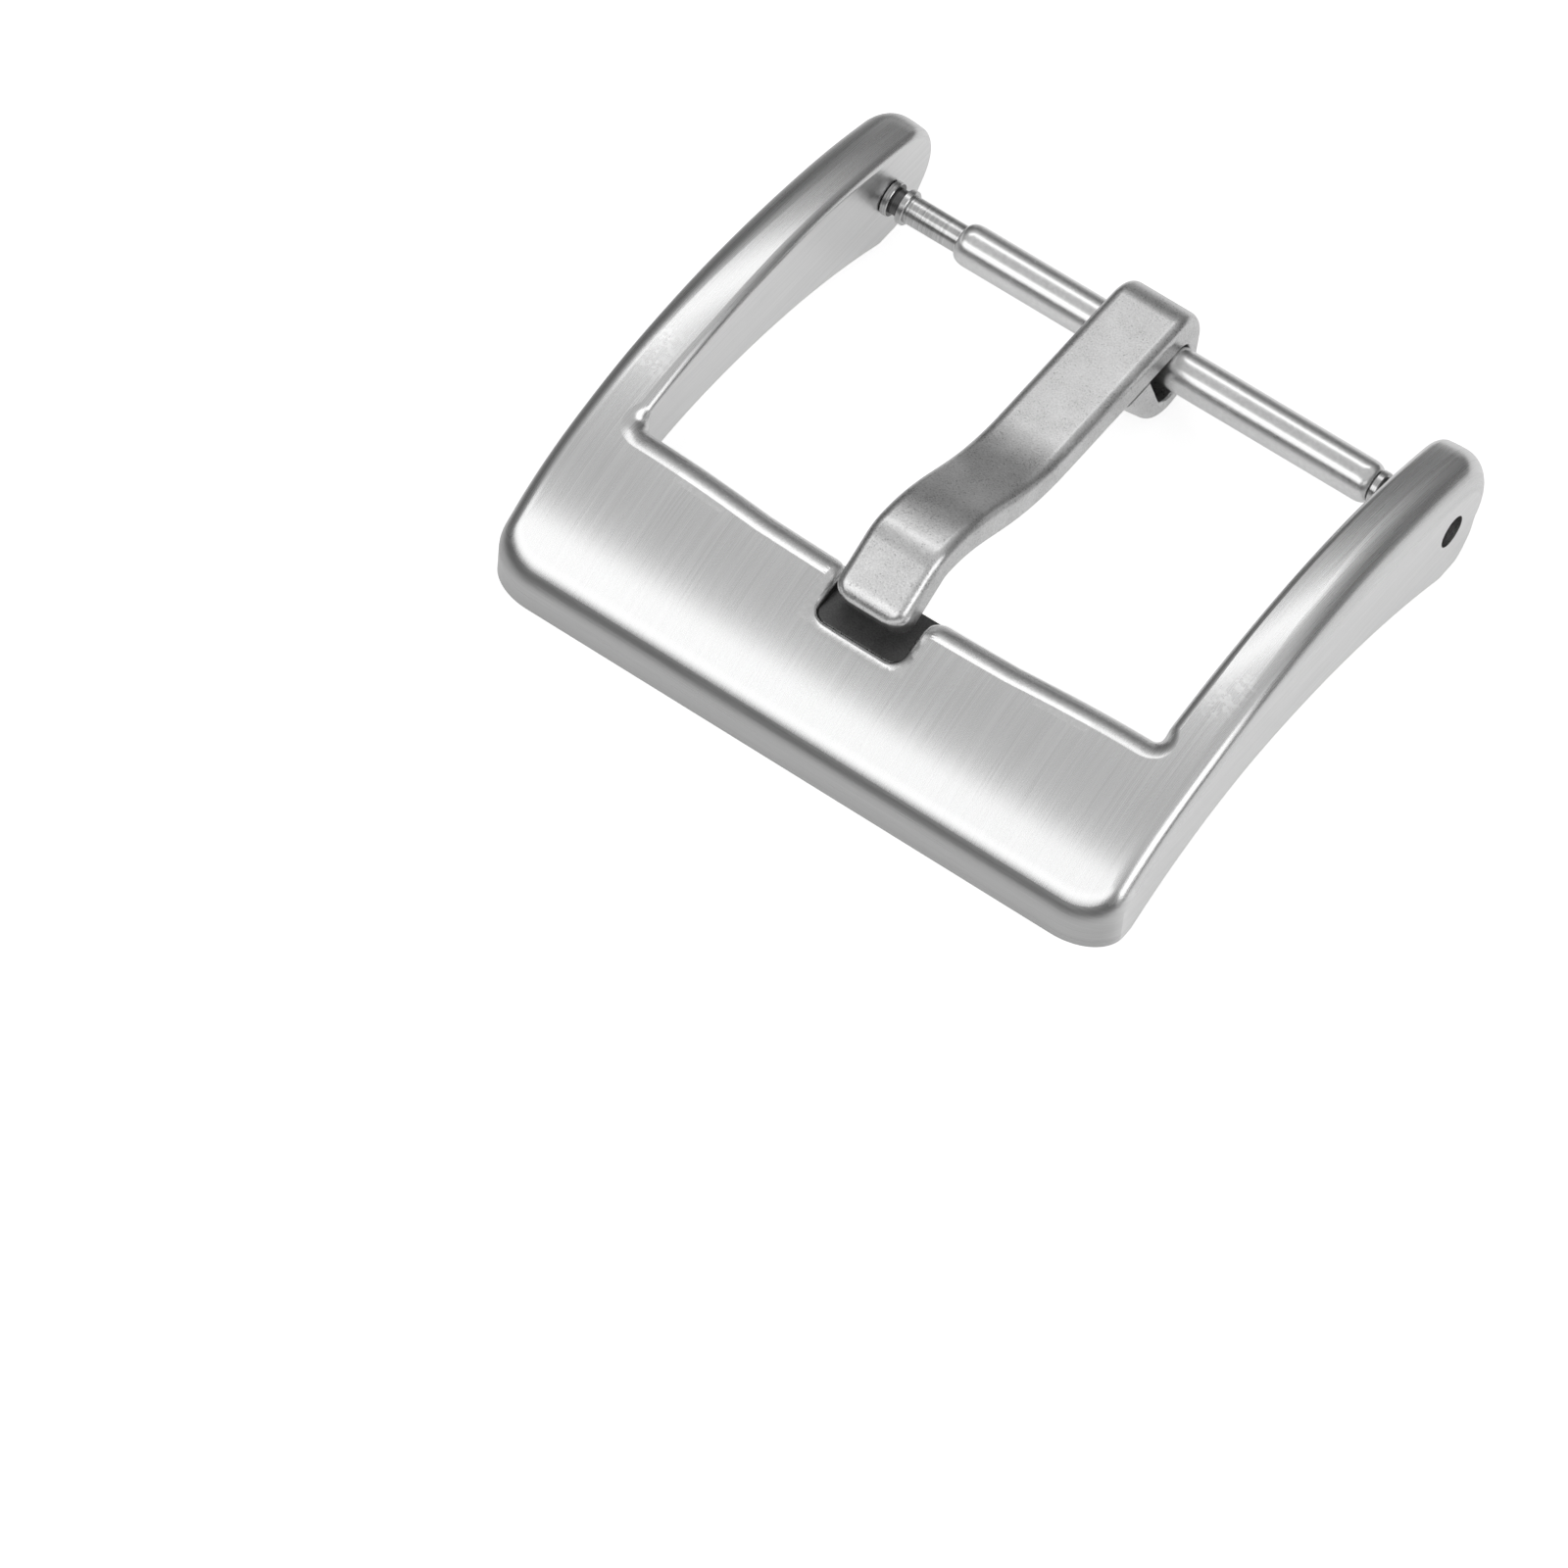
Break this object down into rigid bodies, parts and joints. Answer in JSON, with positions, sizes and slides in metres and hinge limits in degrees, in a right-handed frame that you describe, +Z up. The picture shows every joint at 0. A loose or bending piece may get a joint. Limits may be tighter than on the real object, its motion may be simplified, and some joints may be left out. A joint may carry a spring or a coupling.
{
  "type": "watch strap pin buckle",
  "caption": "Arched steel pin buckle for a watch strap, with a hump-tipped tongue that swings on a sprung bar held between two arms.",
  "frame": {"origin": "middle of the gap between the arms, on the axis of the spring bar", "axes": "+X along the spring bar to the right arm, -Y toward the front bar of the frame, +Z up, away from the surface it lies on"},
  "size_m": [0.0242, 0.0223, 0.0059],
  "materials": {
    "buckle_frame": "brushed along the arms, satin, softly rounded edges",
    "tongue": "fine bead-blasted satin",
    "spring_bar_tube": "mirror polished stainless steel",
    "left_plunger": "turned bright",
    "right_plunger": "turned bright",
    "bar_spring": "drawn spring wire"
  },
  "bodies": {
    "frame": {"buckle_frame": "buckle_frame"},
    "tongue": {"tongue": "tongue"},
    "tube": {"spring_bar_tube": "spring_bar_tube", "bar_spring": "bar_spring"},
    "left_plunger": {"left_plunger": "left_plunger"},
    "right_plunger": {"right_plunger": "right_plunger"}
  },
  "joints": [
    {"name": "tongue_swing", "type": "hinge", "parent": "frame", "child": "tongue", "pos_m": [0, 0, 0], "axis": [-1, 0, 0], "range_deg": [0, 335]},
    {"name": "tube_slide", "type": "slide", "parent": "frame", "child": "tube", "axis": [-1, 0, 0], "range_m": [0, 0.001], "stiffness_N_per_m": 200, "springref_m": -0.002},
    {"name": "right_plunger_slide", "type": "slide", "parent": "frame", "child": "right_plunger", "axis": [-1, 0, 0], "range_m": [0, 0.001]},
    {"name": "left_plunger_slide", "type": "slide", "parent": "frame", "child": "left_plunger", "axis": [1, 0, 0], "range_m": [0, 0.001], "stiffness_N_per_m": 200, "springref_m": -0.002, "deforming": ["bar_spring"]}
  ],
  "couplings": [
    {"joint": "right_plunger_slide", "follows": "tube_slide", "ratio": 1}
  ]
}
